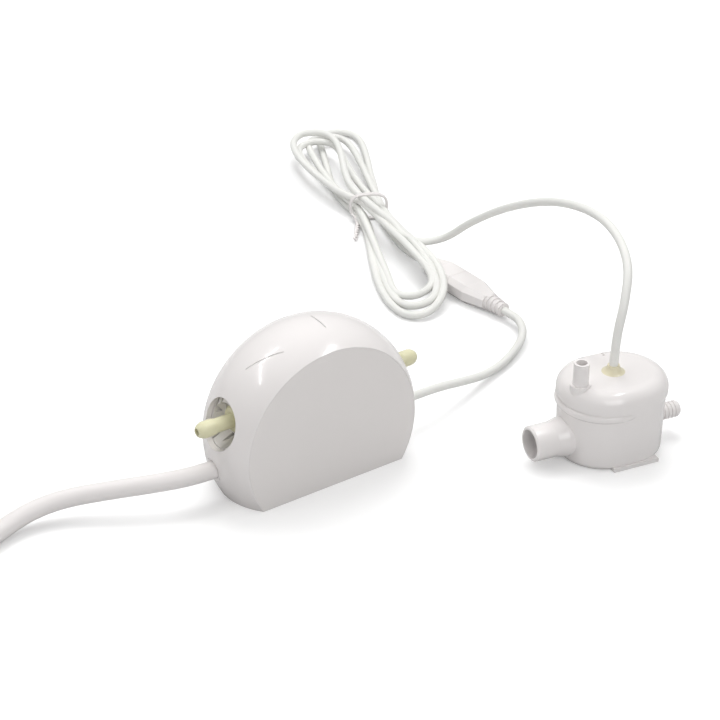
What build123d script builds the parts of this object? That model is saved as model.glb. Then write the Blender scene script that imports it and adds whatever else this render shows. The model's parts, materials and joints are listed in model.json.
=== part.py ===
"""Mini condensate pump for an air conditioner, with its float-switch reservoir.

Millimetres, +Z up.  The origin is the centre of the pump casing's base.  X runs along the
piston (the inlet is at -X, the outlet at +X) and -Y is the side with the flat front plate.
"""
import os
from math import cos, radians, sin, sqrt, tan

from build123d import *

os.makedirs("parts", exist_ok=True)

# ---------------------------------------------------------------- pump casing
casing_depth = 37.0        # along Y
face_radius = 43.0         # barrel radius at the two flat faces
wall_bulge = 6.0           # swelling of the barrel at mid depth
barrel_height = 23.3       # barrel axis above the base
casing_wall = 2.4
rear_round = 1.2
plate_thickness = 2.0
plate_lip = 0.6            # rim of the shell left round the front plate
opening_radius = 11.0      # round opening at each end
nozzle_height = 37.5       # piston and nozzle axis above the base

# ---------------------------------------------------------------- fits and clearances
seat_gap = 0.05            # between pieces of one body that seat in each other
slide_gap = 0.05           # radial, piston in its tube
loose_gap = 0.3            # between pieces of different bodies

# ---------------------------------------------------------------- pump inside
tube_half = 30.0           # half length of the piston tube
tube_radius = 5.0
tube_wall = 0.8
piston_length = 24.0
piston_bore = 1.5          # radius
piston_travel = 3.0        # to each side of rest
o_ring_section = 0.8       # radius of the rubber
bobbin_half = 16.0
bobbin_hub_wall = 1.2
bobbin_flange_radius = 15.0
bobbin_flange = 1.5
winding_radius = 14.0
yoke_sheet = 1.8
yoke_width = 22.0
yoke_corner = 2.4
yoke_gap = 0.2             # bobbin in the yoke
spring_wire = 0.35         # radius
spring_radius = 3.0
spring_turns = 5
spring_end_gap = 0.1

# ---------------------------------------------------------------- nozzles and end mounts
mount_radius = 13.0
mount_length = 12.0        # from the casing wall inwards
dish_depth = 8.5
dish_radius = 10.6
dish_floor_radius = 7.4
slot_width = 1.3
upper_slots = ((8.3, 0.5, 7.0), (5.2, 2.0, 9.6))                 # y, bottom and top above the axis
lower_slots = ((-4.4, -7.6, -5.2), (0.6, -9.4, -6.8), (5.4, -9.8, -7.6))
collar_radius = 6.2
collar_length = 14.5
shank_radius = 3.2
barb_radius = 3.7
barb_land = 4.2
barb_ramp = 1.6
nozzle_reach = 56.3        # tip of the nozzle from the centre
nose_length = 3.2
nozzle_bore = 1.5          # radius
valve_length = 5.0
valve_radius = 3.0

# ---------------------------------------------------------------- electronics
board_length = 56.0
board_width = 27.0
board_thickness = 1.6
board_height = 7.4         # underside above the base
post_radius = 2.4
post_inset = 3.4
screw_radius = 1.0
screw_head = 1.9
cutout_size = (12.0, 6.0, 3.6)

# ---------------------------------------------------------------- leads and glands
mains_diameter = 8.0
lead_diameter = 4.0
gland_y = 2.0
gland_z = 15.0
gland_wall = 1.1
lead_standoff = 0.5        # where the moving stretch of the pump lead starts, outside the wall
gland_flange = 1.3
clamp_length = 5.0
clamp_side = 3.0           # clamp wall beside the lead

# ---------------------------------------------------------------- reservoir
reservoir_x = 117.9
reservoir_y = -62.7
reservoir_yaw = -11.0
cup_length = 49.0          # at the rim
cup_width = 40.6
cup_height = 29.2          # to the seam under the lid
cup_wall = 2.2
cup_floor = 2.0
cup_draft = 1.2            # degrees
cup_foot_round = 3.0
spigot_ring_height = 3.0   # thin ring that enters the lid
bead_section = 2.0
bead_height = 26.4
bead_standoff = 1.2
pipe_height = 11.0         # axis of inlet and outlet above the base
inlet_radius = 8.0
inlet_bore = 6.5
inlet_reach = 40.0         # from the reservoir's centre
inlet_root_radius = 9.1
inlet_root_length = 5.0
outlet_reach = 35.4
outlet_root = 3.3
outlet_barb = 3.8
outlet_bore = 1.9
outlet_ribs = 4
outlet_rib_pitch = 1.9
rail_start = -8.8
rail_length = 22.5
rail_height = 1.8
rail_reach = 20.7
rail_depth = 5.5
screen_offset = -16.4
screen_width = 22.0
screen_height = 16.0
screen_thickness = 1.2
screen_hole = 1.2          # radius
screen_rows = 3
screen_columns = 5
guide_wall = 1.2
guide_height = 2.6

# ---------------------------------------------------------------- lid, float switch
lid_overhang = 0.7         # lid past the cup's rim, on each side
lid_top = 38.5
lid_round = 7.0
lid_skirt = 1.6
lid_roof = 2.2
seal_height = 1.0
notch_width = 9.0
notch_start = -5.0
notch_depth = 1.1
notch_reach = 13.5
vent_place = (-19.0, -4.5)
vent_radius = 3.5
vent_bore = 2.4
vent_top = 49.5
vent_foot = (4.6, 0.5)     # radius and height of the flat foot round the vent
glue_radius = 5.2
glue_top_radius = 2.7
glue_height = 3.2
stem_radius = 3.0
stem_bore = 1.8
stem_floor = 1.0
stem_bottom = 4.0
stem_collar = 5.0
stem_collar_height = 1.5
clip_thickness = 1.0
clip_radius = 5.0
clip_groove = 0.5
float_radius = 12.0
float_height = 10.0
float_bore_gap = 0.4
float_travel = 8.0
float_edge = 1.2
magnet_inner = 4.4
magnet_outer = 7.0
magnet_height = 3.0
reed_radius = 1.2
reed_length = 14.0
lid_lift = 28.0

# ---------------------------------------------------------------- in-line connector
connector_x = 154.3
connector_seam_y = 94.0
connector_width = 16.0
connector_height = 10.0
connector_chamfer = 2.6
plug_straight = 13.0
plug_taper = 13.0
socket_straight = 12.0
socket_taper = 11.0
neck_width = 9.4
neck_height = 7.6
neck_chamfer = 1.8
relief_length = 11.5
relief_root = 4.1
relief_tip = 3.0
relief_rib = 0.55
relief_ribs = 4
socket_relief_length = 3.0
seam_gap = 0.2
pin_radius = 0.62
pin_length = 8.5
pin_pitch = 4.0
pin_count = 3
contact_gap = 0.08
contact_wall = 0.45
contact_length = 9.2
plug_travel = 10.0

# ---------------------------------------------------------------- routes of the leads
mains_route = [(-57.0, 2.0, 15.0), (-74.0, 7.8, 14.5), (-90.0, 17.0, 12.3), (-105.5, 25.6, 9.9),
               (-119.0, 29.4, 7.4), (-132.0, 28.0, 5.3), (-146.0, 22.8, 4.2), (-160.0, 17.6, 4.2)]
pump_lead_route = [(60.0, 2.0, 15.0), (76.0, 5.6, 12.0), (93.5, 9.5, 7.2), (110.0, 14.0, 2.9),
                   (128.0, 20.0, 2.2), (147.0, 31.5, 3.6), (154.3, 43.5, 5.0)]
arch_route = [(161.9, 134.0, 8.5), (170.0, 125.5, 13.5), (171.0, 107.0, 29.0), (167.0, 74.0, 51.5),
              (162.0, 38.0, 70.5), (154.5, 4.0, 82.5), (146.0, -26.0, 87.0), (134.5, -50.5, 82.0),
              (124.0, -60.5, 70.0), (117.9, -62.7, 54.0)]
sensor_tail_length = 16.0
hank_bottom = 1.1
hank_height = 14.0
hank_front = (129.0, 97.0, 18.5)      # centre and radius of the near loops
hank_waist = (168.0, 191.0, 10.5)
hank_far = ((190.0, 272.0, 20.0), (211.0, 280.0, 16.0))        # the far loops fan out
hank_holes = (((129.0, 98.0, 8.5), (145.0, 140.0, 2.0)), ((187.0, 267.0, 8.5), (173.5, 226.0, 2.0)))
hank_round = 3.0
tie_width = 3.0
tie_thickness = 0.8
tie_slack = 0.8
tie_tail = (2.4, 21.0)                # width and length of the loose end
tie_tail_turn = 166.5                 # degrees from the hank's length
coil_centre = (-183.1, 55.1)
coil_inner = 31.6
coil_outer = 48.2
coil_height = 24.6
coil_round = 3.0
mains_tail_route = [(-215.5, 84.8, 20.3), (-203.0, 99.5, 16.5), (-191.0, 108.5, 10.6), (-178.0, 113.8, 5.8),
                    (-165.0, 117.0, 5.0)]
core_radius = 1.3
core_place = 1.9           # from the lead's middle
core_length = 20.0
core_count = 3

# ---------------------------------------------------------------- worked-out values
half_depth = casing_depth / 2
bulge_radius = (half_depth ** 2 + wall_bulge ** 2) / (2 * wall_bulge)
bulge_centre = face_radius + wall_bulge - bulge_radius
lid_length = cup_length + 2 * lid_overhang
lid_width = cup_width + 2 * lid_overhang + 0.4
tube_bore = tube_radius - tube_wall
piston_radius = tube_bore - slide_gap
far = 200.0                # larger than the casing, for cutting tools


# ---------------------------------------------------------------- helpers
def rod_x(x0, x1, radius, y=0.0, z=0.0):
    """Solid cylinder along X."""
    return Pos((x0 + x1) / 2, y, z) * Rot(0, 90, 0) * Cylinder(radius, abs(x1 - x0))


def pipe_x(x0, x1, outer, inner, y=0.0, z=0.0):
    return rod_x(x0, x1, outer, y, z) - rod_x(x0, x1, inner, y, z)


def rod_z(z0, z1, radius, x=0.0, y=0.0):
    """Solid cylinder along Z."""
    return Pos(x, y, (z0 + z1) / 2) * Cylinder(radius, abs(z1 - z0))


def block(x0, x1, y0, y1, z0, z1):
    """Box given by its limits."""
    middle = Pos((x0 + x1) / 2, (y0 + y1) / 2, (z0 + z1) / 2)
    return middle * Box(abs(x1 - x0), abs(y1 - y0), abs(z1 - z0))


def turned_x(profile):
    """Solid of revolution about X from (x, radius) points, at the height of the origin."""
    points = [(profile[0][0], 0)] + list(profile) + [(profile[-1][0], 0)]
    return revolve(make_face(Polyline(*points, close=True)), Axis.X)


def wall_radius(y, inset):
    """Barrel radius at depth y, for the surface that lies inset below the outside."""
    return bulge_centre + sqrt((bulge_radius - inset) ** 2 - y ** 2)


def wall_x(y, z, inset=0.0):
    """Distance of the casing's end surface from the centre plane, at a given y and z."""
    return sqrt(wall_radius(y, inset) ** 2 - (z - barrel_height) ** 2)


def barrel(inset, y0, y1):
    """Barrel about the casing's axis, between two depths."""
    middle = (y0 + y1) / 2
    r0, rm, r1 = (wall_radius(y, inset) for y in (y0, middle, y1))
    outline = Curve() + [
        ThreePointArc((r0, y0), (rm, middle), (r1, y1)),
        Line((r1, y1), (0, y1)),
        Line((0, y1), (0, y0)),
        Line((0, y0), (r0, y0)),
    ]
    return Pos(0, 0, barrel_height) * revolve(make_face(outline), Axis.Y)


def above(z):
    """Everything above a height."""
    return block(-far, far, -far, far, z, 2 * far)


def save(solid, name):
    export_step(solid, f"parts/{name}.step")


def cord_path(points):
    """Straight runs joined by tangent arcs, each as large as its two runs allow."""
    vectors = [Vector(*p) for p in points]
    radii = []
    for before, corner, after in zip(vectors, vectors[1:], vectors[2:]):
        run_in, run_out = corner - before, after - corner
        turn = run_in.get_angle(run_out)
        radii.append(0.45 * min(run_in.length, run_out.length) / tan(radians(turn / 2)))
    return FilletPolyline(*points, radius=radii), radii


def cord_tube(name, points, diameter):
    """Round lead along its route; prints its length and bends and compares its volume."""
    path, radii = cord_path(points)
    section = Plane(origin=path @ 0, z_dir=path % 0) * Circle(diameter / 2)
    tube = sweep(section, path)
    expected = section.area * path.length
    smallest = min(radii) if radii else 0
    print(f"{name}: length {path.length:.1f}, smallest bend {smallest:.1f} ({smallest / diameter:.1f} dia),"
          f" volume ratio {tube.volume / expected:.4f}")
    print("   bends", " ".join(f"{radius:.0f}" for radius in radii))
    save(tube, name)
    return tube


# ---------------------------------------------------------------- casing and front plate
def cover_shell():
    """Gloss barrel shell: one moulding with the rear face, open at the front."""
    outside = barrel(0, -half_depth, half_depth) & above(0)
    rear_edges = outside.edges().group_by(Axis.Y)[-1]
    outside = fillet(rear_edges, rear_round)
    cavity = barrel(casing_wall, -half_depth, half_depth - casing_wall) & above(casing_wall)
    shell = outside - cavity - plate_solid(-seat_gap, plate_thickness)
    shell -= Pos(0, 0, nozzle_height) * Rot(90, 0, 0) * rod_x(-far / 2, far / 2, opening_radius)
    shell -= gland_hole(-1, mains_diameter) + gland_hole(1, lead_diameter)
    for x, y in board_corners():
        shell += rod_z(casing_wall / 2, board_height, post_radius, x, y)
        shell -= rod_z(casing_wall, board_height, screw_radius, x, y)
    return shell


def plate_solid(inset, thickness):
    """D-shaped plate inside the shell's lip; inset shrinks it."""
    edge = plate_lip + inset
    disc = Pos(0, -half_depth + thickness / 2, barrel_height) * Rot(90, 0, 0)
    return (disc * Cylinder(face_radius - edge, thickness)) & above(edge)


def front_plate():
    """Satin front plate with a locating rim that clips inside the shell's wall."""
    plate = plate_solid(0, plate_thickness)
    rim_depth = 3.0
    rim_wall = 1.2
    y0 = -half_depth + plate_thickness
    y1 = y0 + rim_depth
    inset = casing_wall + 2 * seat_gap
    rim = barrel(inset, y0, y1) & above(inset)
    rim -= barrel(inset + rim_wall, y0 - 1, y1 + 1) & above(inset + rim_wall)
    return plate + rim


def gland_hole(side, lead):
    radius = lead / 2 + gland_wall + seat_gap
    return rod_x(side * (tube_half + 5), side * far / 2, radius, gland_y, gland_z)


def gland(side, lead):
    """Rubber grommet: a sleeve in the shell's hole and a flange inside it."""
    sleeve_radius = lead / 2 + gland_wall
    flange_radius = sleeve_radius + 1.2
    corner_y = gland_y + flange_radius
    corner_z = gland_z - flange_radius
    flange_face = wall_x(corner_y, corner_z, casing_wall) - seat_gap
    outer = wall_x(gland_y, gland_z) - 0.2
    ring = pipe_x(flange_face - gland_flange, outer, sleeve_radius, lead / 2 + seat_gap)
    ring += pipe_x(flange_face - gland_flange, flange_face, flange_radius, lead / 2 + seat_gap)
    placed = Pos(0, gland_y, gland_z) * ring
    return placed if side > 0 else mirror(placed, Plane.YZ)


def clamp_face(lead):
    """Outer end of the cable clamp, clear of the sloping floor corner."""
    edge_y = gland_y + lead / 2 + clamp_side
    return wall_x(edge_y, casing_wall, casing_wall) - 1.0


def cable_clamp(side, lead):
    """Upright on the casing floor that grips the end of a lead's jacket."""
    face = clamp_face(lead)
    half = lead / 2 + clamp_side
    body = block(face - clamp_length, face, gland_y - half, gland_y + half,
                 casing_wall, gland_z + half)
    body = fillet(body.edges().filter_by(Axis.X).group_by(Axis.Z)[-1], 1.5)
    return body if side > 0 else mirror(body, Plane.YZ)


# ---------------------------------------------------------------- end mounts and nozzles
def end_mount(side):
    """Dished rubber mount behind the end opening, slotted so that the casing breathes."""
    reach = wall_x(0, nozzle_height)
    floor = reach - dish_depth
    blank = rod_x(reach - mount_length, far / 2, mount_radius, 0, nozzle_height)
    blank &= barrel(casing_wall + seat_gap, -half_depth + 1, half_depth - casing_wall)
    dish = Pos((floor + reach + 3) / 2, 0, nozzle_height) * Rot(0, 90, 0)
    slope = (dish_radius - dish_floor_radius) / dish_depth
    wide = dish_floor_radius + slope * (dish_depth + 3)
    blank -= dish * Cone(dish_floor_radius, wide, dish_depth + 3)
    blank -= rod_x(0, far / 2, collar_radius + seat_gap, 0, nozzle_height)
    for y, low, high in upper_slots + lower_slots:
        blank -= block(0, far / 2, side_y(y, -1), side_y(y, 1), nozzle_height + low, nozzle_height + high)
    return blank if side > 0 else mirror(blank, Plane.YZ)


def side_y(y, edge):
    return y + edge * slot_width / 2


def nozzle(side):
    """Push-on hose nozzle whose collar closes the end of the piston tube."""
    start = tube_half - 5.0
    collar_end = start + collar_length
    land_end = nozzle_reach - nose_length
    land_start = land_end - barb_land
    profile = [
        (start, collar_radius), (collar_end - 1.0, collar_radius), (collar_end, collar_radius - 1.0),
        (collar_end, shank_radius), (land_start - barb_ramp, shank_radius), (land_start, barb_radius),
        (land_end, barb_radius),
    ]
    body = turned_x(profile)
    nose = revolve(make_face(Curve() + [
        Line((land_end, 0), (land_end, barb_radius)),
        ThreePointArc((land_end, barb_radius),
                      (land_end + nose_length * 0.68, barb_radius * 0.78),
                      (nozzle_reach, nozzle_bore + 0.5)),
        Line((nozzle_reach, nozzle_bore + 0.5), (nozzle_reach, 0)),
        Line((nozzle_reach, 0), (land_end, 0)),
    ]), Axis.X)
    body += nose
    body -= rod_x(0, tube_half + 2 * o_ring_section, tube_radius + seat_gap)
    body -= rod_x(0, tube_half + 2 * o_ring_section + valve_length, valve_radius + seat_gap)
    body -= rod_x(0, far / 2, nozzle_bore)
    placed = Pos(0, 0, nozzle_height) * body
    return placed if side > 0 else mirror(placed, Plane.YZ)


def valve(start):
    """Rubber duckbill valve: round foot, flattened lips with a slit."""
    foot = rod_x(start, start + 1.6, valve_radius)
    lips = loft([
        Plane(origin=(start + 1.6, 0, 0), z_dir=(1, 0, 0)) * Ellipse(2.0, 2.0),
        Plane(origin=(start + valve_length - 0.2, 0, 0), z_dir=(1, 0, 0)) * Ellipse(0.6, 1.9),
    ])
    slit = block(start + valve_length - 1.0, start + valve_length, -0.1, 0.1, -1.2, 1.2)
    channel = rod_x(start, start + 1.2, 1.2)
    return Pos(0, 0, nozzle_height) * (foot + lips - slit - channel)


# ---------------------------------------------------------------- solenoid
def piston():
    """Steel piston with a through bore and a pocket for its valve at the outlet end."""
    half = piston_length / 2
    body = turned_x([(-half, piston_radius - 0.4), (-half + 0.4, piston_radius),
                     (half - 0.4, piston_radius), (half, piston_radius - 0.4)])
    body -= rod_x(-half, half, piston_bore)
    body -= rod_x(half - valve_length, half, valve_radius + seat_gap)
    return Pos(0, 0, nozzle_height) * body


def spring(x0, x1):
    """Compression spring along X."""
    length = x1 - x0 - 2 * spring_wire
    coil = Helix(pitch=length / spring_turns, height=length, radius=spring_radius)
    section = Plane(origin=coil @ 0, z_dir=coil % 0) * Circle(spring_wire)
    wire = sweep(section, coil, is_frenet=True)
    return Pos(x0 + spring_wire, 0, nozzle_height) * Rot(0, 90, 0) * wire


def bobbin():
    hub = tube_radius + seat_gap
    body = pipe_x(-bobbin_half, bobbin_half, hub + bobbin_hub_wall, hub)
    for end in (-1, 1):
        flange = pipe_x(end * (bobbin_half - bobbin_flange), end * bobbin_half, bobbin_flange_radius, hub)
        body += flange
    return Pos(0, 0, nozzle_height) * body


def winding():
    half = bobbin_half - bobbin_flange - seat_gap
    hub = tube_radius + bobbin_hub_wall + 2 * seat_gap
    return Pos(0, 0, nozzle_height) * pipe_x(-half, half, winding_radius, hub)


def yoke():
    """Steel strap bent round the bobbin, bored for the piston tube."""
    inner_x = bobbin_half + yoke_gap
    inner_z = bobbin_flange_radius + yoke_gap
    across = Plane.XZ.offset(-yoke_width / 2)
    outer = RectangleRounded(2 * (inner_x + yoke_sheet), 2 * (inner_z + yoke_sheet), yoke_corner)
    inner = RectangleRounded(2 * inner_x, 2 * inner_z, yoke_corner - yoke_sheet)
    strap = extrude(across * (outer - inner), yoke_width)
    strap -= rod_x(-far / 4, far / 4, tube_radius + seat_gap)
    return Pos(0, 0, nozzle_height) * strap


def yoke_top():
    return nozzle_height + bobbin_flange_radius + yoke_gap + yoke_sheet


# ---------------------------------------------------------------- circuit board
def board_corners():
    x = board_length / 2 - post_inset
    y = board_width / 2 - post_inset
    return [(sx * x, sy * y) for sx in (-1, 1) for sy in (-1, 1)]


def circuit_board():
    top = board_height + board_thickness
    board = block(-board_length / 2, board_length / 2, -board_width / 2, board_width / 2, board_height, top)
    for x, y in board_corners():
        board -= rod_z(board_height, top, screw_radius + seat_gap, x, y)
    return board


def board_screws():
    top = board_height + board_thickness
    screws = []
    for x, y in board_corners():
        shank = rod_z(casing_wall + 0.5, top, screw_radius - seat_gap, x, y)
        screws.append(shank + rod_z(top, top + 1.2, screw_head, x, y))
    return Compound(screws)


def on_board(x, y, length, width, height):
    top = board_height + board_thickness
    return block(x - length / 2, x + length / 2, y - width / 2, y + width / 2, top, top + height)


def terminal_block():
    """Three-way screw terminal for the mains cores."""
    x = -board_length / 2 + 11.5
    body = chamfer(on_board(x, 0, 7.0, 14.0, 8.0).edges().filter_by(Axis.Y).group_by(Axis.Z)[-1], 1.2)
    top = board_height + board_thickness
    for way in (-1, 0, 1):
        body -= rod_z(top + 5.0, top + 9.0, 1.4, x, way * 4.5)
        body -= rod_x(x - 4, x - 1, 1.3, way * 4.5, top + 2.6)
    return body


def capacitors():
    top = board_height + board_thickness
    cans = [fillet(rod_z(top, top + 7.5, 2.8, 20.0, y).edges().group_by(Axis.Z)[-1], 0.5) for y in (-4.0, 4.0)]
    return Compound(cans)


def control_chip():
    body = on_board(2.0, 0, 9.0, 6.4, 2.6)
    return body - rod_z(board_height + board_thickness + 2.2, far / 10, 0.6, -1.2, 1.8)


# ---------------------------------------------------------------- reservoir, in its own frame
def slot_block(length, width, z0, z1, draft=0.0):
    """Round-ended block; the outline is given at the top and shrinks downwards by the draft."""
    shrink = 2 * (z1 - z0) * tan(radians(draft))
    foot = Pos(0, 0, z0) * SlotOverall(length - shrink, width - shrink)
    return extrude(foot, z1 - z0, taper=-draft)


def reservoir_cup():
    """Tapered cup with inlet pipe, outlet nozzle, foot rails and screen guides."""
    outside = slot_block(cup_length, cup_width, 0, cup_height, cup_draft)
    outside = fillet(outside.edges().group_by(Axis.Z)[0], cup_foot_round)
    ring_length, ring_width = (size - 2 * (lid_skirt + loose_gap / 2) for size in (lid_length, lid_width))
    outside += slot_block(ring_length, ring_width, cup_height, cup_height + spigot_ring_height)
    end_centre = (cup_length - cup_width) / 2
    bead_radius = cup_width / 2 - bead_section + 0.6
    bead = Pos(-end_centre - bead_standoff + 0.6, 0, bead_height) * Torus(bead_radius, bead_section)
    outside += bead
    outside += reservoir_inlet()
    outside += Pos(0, 0, pipe_height) * reservoir_outlet()
    for side in (-1, 1):
        rail = block(rail_start, rail_start + rail_length, side * (rail_reach - rail_depth),
                     side * rail_reach, 0, rail_height)
        outside += rail
    cup = outside - cup_cavity(0)
    cup -= rod_x(-inlet_reach - 1, -cup_length / 2 + cup_width / 3, inlet_bore, 0, pipe_height)
    cup -= rod_x(cup_length / 3, outlet_reach + 1, outlet_bore, 0, pipe_height)
    return cup + screen_guides()


def cup_cavity(gap):
    """Inside of the cup, shrunk by a gap for what has to fit in it."""
    length = cup_length - 2 * cup_wall - 2 * gap
    width = cup_width - 2 * cup_wall - 2 * gap
    cavity = slot_block(length, width, cup_floor, cup_height, cup_draft)
    cavity = fillet(cavity.edges().group_by(Axis.Z)[0], cup_foot_round - 1)
    return cavity + slot_block(length, width, cup_height, cup_height + spigot_ring_height + 1)


def reservoir_inlet():
    """Pipe for the drain hose, with a conical root where it meets the cup."""
    wall = cup_length / 2
    pipe = turned_x([
        (-inlet_reach, inlet_radius - 0.7), (-inlet_reach + 0.7, inlet_radius),
        (-wall - inlet_root_length, inlet_radius), (-wall, inlet_root_radius),
        (-wall + cup_width / 4, inlet_root_radius),
    ])
    return Pos(0, 0, pipe_height) * pipe


def reservoir_outlet():
    """Ribbed nozzle for the suction tube."""
    wall = cup_length / 2
    profile = [(wall - cup_width / 6, outlet_root)]
    first = outlet_reach - 1.2 - (outlet_ribs - 1) * outlet_rib_pitch
    for rib in range(outlet_ribs):
        x = first + rib * outlet_rib_pitch
        profile += [(x - 1.5, outlet_root), (x - 1.3, outlet_barb), (x, outlet_barb)]
    profile += [(outlet_reach, outlet_root - 0.3)]
    return turned_x(profile)


def screen_guides():
    """Ribs on the cup floor that hold the screen's two edges."""
    guides = Part()
    for side in (-1, 1):
        outer = side * (screen_width / 2 + guide_wall)
        inner = side * (screen_width / 2 - 2.0)
        for face in (-1, 1):
            near = screen_offset + face * (screen_thickness / 2 + seat_gap)
            guides += block(near, near + face * guide_wall, inner, outer, cup_floor - 0.5,
                            cup_floor + guide_height)
    return guides


def filter_screen():
    """Drilled plate that keeps debris from the float."""
    near = screen_offset - screen_thickness / 2
    plate = block(near, near + screen_thickness, -screen_width / 2, screen_width / 2,
                  cup_floor, cup_floor + screen_height)
    for row in range(screen_rows):
        for column in range(screen_columns):
            y = (column - (screen_columns - 1) / 2) * screen_width / (screen_columns + 0.6)
            z = cup_floor + guide_height + 2.6 + row * (screen_height - guide_height - 4.6) / (screen_rows - 0.6)
            plate -= rod_x(near - 1, near + screen_thickness + 1, screen_hole, y, z)
    return plate & cup_cavity(seat_gap)


# ---------------------------------------------------------------- lid and float switch
seal_bottom = cup_height + spigot_ring_height
seal_top = seal_bottom + seal_height
stem_top = lid_top - lid_roof
clip_bottom = stem_bottom + 1.5
float_bottom = clip_bottom + clip_thickness + loose_gap
collar_bottom = float_bottom + float_height + float_travel + loose_gap


def reservoir_lid():
    """Domed lid whose skirt slides over the cup's ring; the vent nozzle is part of it."""
    lid = slot_block(lid_length, lid_width, cup_height + seam_gap, lid_top)
    lid = fillet(lid.edges().group_by(Axis.Z)[-1], lid_round)
    foot_radius, foot_height = vent_foot
    lid += rod_z(lid_top - lid_round, lid_top + foot_height, foot_radius, *vent_place)
    lid += rod_z(lid_top - lid_round, vent_top, vent_radius, *vent_place)
    skirt_length, skirt_width = (size - 2 * lid_skirt for size in (lid_length, lid_width))
    lid -= slot_block(skirt_length, skirt_width, cup_height, seal_top)
    inner_length, inner_width = cup_length - 2 * cup_wall, cup_width - 2 * cup_wall
    hollow = slot_block(inner_length, inner_width, seal_top, stem_top)
    lid -= fillet(hollow.edges().group_by(Axis.Z)[-1], (stem_top - seal_top) * 0.8)
    lid -= rod_z(seal_top, vent_top, vent_bore, *vent_place)
    lid -= rod_z(stem_top, lid_top, stem_bore)
    lid -= block(notch_start, notch_start + notch_width, notch_reach, lid_width,
                 lid_top - notch_depth, lid_top + 1)
    return lid


def lid_seal():
    outer = slot_block(lid_length - 2 * lid_skirt - seat_gap, lid_width - 2 * lid_skirt - seat_gap,
                       seal_bottom, seal_top)
    inner = slot_block(cup_length - 2 * cup_wall, cup_width - 2 * cup_wall, seal_bottom - 1, seal_top + 1)
    return outer - inner


def sensor_stem():
    """Closed tube under the lid that guides the float; a collar stops the float at the top."""
    stem = rod_z(stem_bottom, stem_top, stem_radius)
    stem += rod_z(collar_bottom, collar_bottom + stem_collar_height, stem_collar)
    stem -= rod_z(stem_bottom + stem_floor, stem_top, stem_bore)
    groove = rod_z(clip_bottom, clip_bottom + clip_thickness, stem_radius + 1)
    groove -= rod_z(clip_bottom, clip_bottom + clip_thickness, stem_radius - clip_groove)
    return stem - groove


def stem_clip():
    """Open snap ring in the stem's groove, under the float."""
    thin = clip_thickness - 2 * seat_gap
    low = clip_bottom + seat_gap
    ring = rod_z(low, low + thin, clip_radius) - rod_z(low, low + thin, stem_radius - clip_groove + seat_gap)
    return ring - block(0, clip_radius + 1, -1.6, 1.6, low - 1, low + clip_thickness + 1)


def reed_switch():
    low = stem_bottom + stem_floor + 1.0
    capsule = rod_z(low, low + reed_length, reed_radius)
    return fillet(capsule.edges().group_by(Axis.Z)[-1], 0.8)


def float_ring():
    bore = stem_radius + float_bore_gap
    body = rod_z(float_bottom, float_bottom + float_height, float_radius)
    body = fillet(body.edges(), float_edge)
    body -= rod_z(float_bottom, float_bottom + float_height, bore)
    top = float_bottom + float_height
    pocket = rod_z(top - magnet_height - seat_gap, top, magnet_outer + seat_gap)
    pocket -= rod_z(top - magnet_height - seat_gap, top, magnet_inner - seat_gap)
    return body - pocket


def float_magnet():
    top = float_bottom + float_height
    return rod_z(top - magnet_height, top, magnet_outer) - rod_z(top - magnet_height, top, magnet_inner)


def glue_bead():
    """Collar of hot-melt glue that seals the lead into the lid."""
    profile = make_face(Curve() + [
        Line((0, lid_top), (glue_radius, lid_top)),
        ThreePointArc((glue_radius, lid_top),
                      ((glue_radius + glue_top_radius) / 2 - 0.5, lid_top + glue_height * 0.42),
                      (glue_top_radius, lid_top + glue_height)),
        Line((glue_top_radius, lid_top + glue_height), (0, lid_top + glue_height)),
        Line((0, lid_top + glue_height), (0, lid_top)),
    ])
    return revolve(Plane.XZ * profile, Axis.Z)


# ---------------------------------------------------------------- connector, in its own frame
def body_section(x, width, height, corner):
    outline = chamfer(Rectangle(height, width).vertices(), corner)
    return Plane(origin=(x, 0, 0), z_dir=(1, 0, 0), x_dir=(0, 0, 1)) * outline


def connector_half(straight, taper):
    """Eight-sided body from the seam (x = 0) outwards, narrowing to a neck."""
    full = body_section(0, connector_width, connector_height, connector_chamfer)
    barrel_part = extrude(full, straight)
    neck = loft([
        body_section(straight, connector_width, connector_height, connector_chamfer),
        body_section(straight + taper, neck_width, neck_height, neck_chamfer),
    ])
    return barrel_part + neck


def strain_relief(start, length, ribs):
    """Tapered boot; the ribs stand on it as rings."""
    boot = turned_x([(start, relief_root), (start + length, relief_tip)])
    for rib in range(ribs):
        x = start + length * (rib + 0.6) / ribs
        radius = relief_root + (relief_tip - relief_root) * (x - start) / length + relief_rib
        boot += rod_x(x - 0.6, x + 0.6, radius)
    return boot


def pin_rows():
    return [(row - (pin_count - 1) / 2) * pin_pitch for row in range(pin_count)]


contact_radius = pin_radius + contact_gap + contact_wall


def connector_socket():
    body = connector_half(socket_straight, socket_taper)
    body += strain_relief(socket_straight + socket_taper, socket_relief_length, 1)
    for y in pin_rows():
        body -= rod_x(-1, contact_length + 2 * seat_gap, contact_radius + seat_gap, y)
    return body


def socket_contacts():
    sleeves = [pipe_x(seat_gap, contact_length, contact_radius, pin_radius + contact_gap, y) for y in pin_rows()]
    return Compound(sleeves)


def connector_plug():
    half = connector_half(plug_straight, plug_taper)
    half += strain_relief(plug_straight + plug_taper, relief_length, relief_ribs)
    for y in pin_rows():
        half -= rod_x(-1, 4.0 + seat_gap, pin_radius + seat_gap, y)
    return Pos(-seam_gap, 0, 0) * mirror(half, Plane.YZ)


def plug_pins():
    pins = []
    for y in pin_rows():
        pin = rod_x(-4.0 - seam_gap, pin_length - seam_gap, pin_radius, y)
        pins.append(fillet(pin.edges().group_by(Axis.X)[-1], 0.3))
    return Compound(pins)


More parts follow.
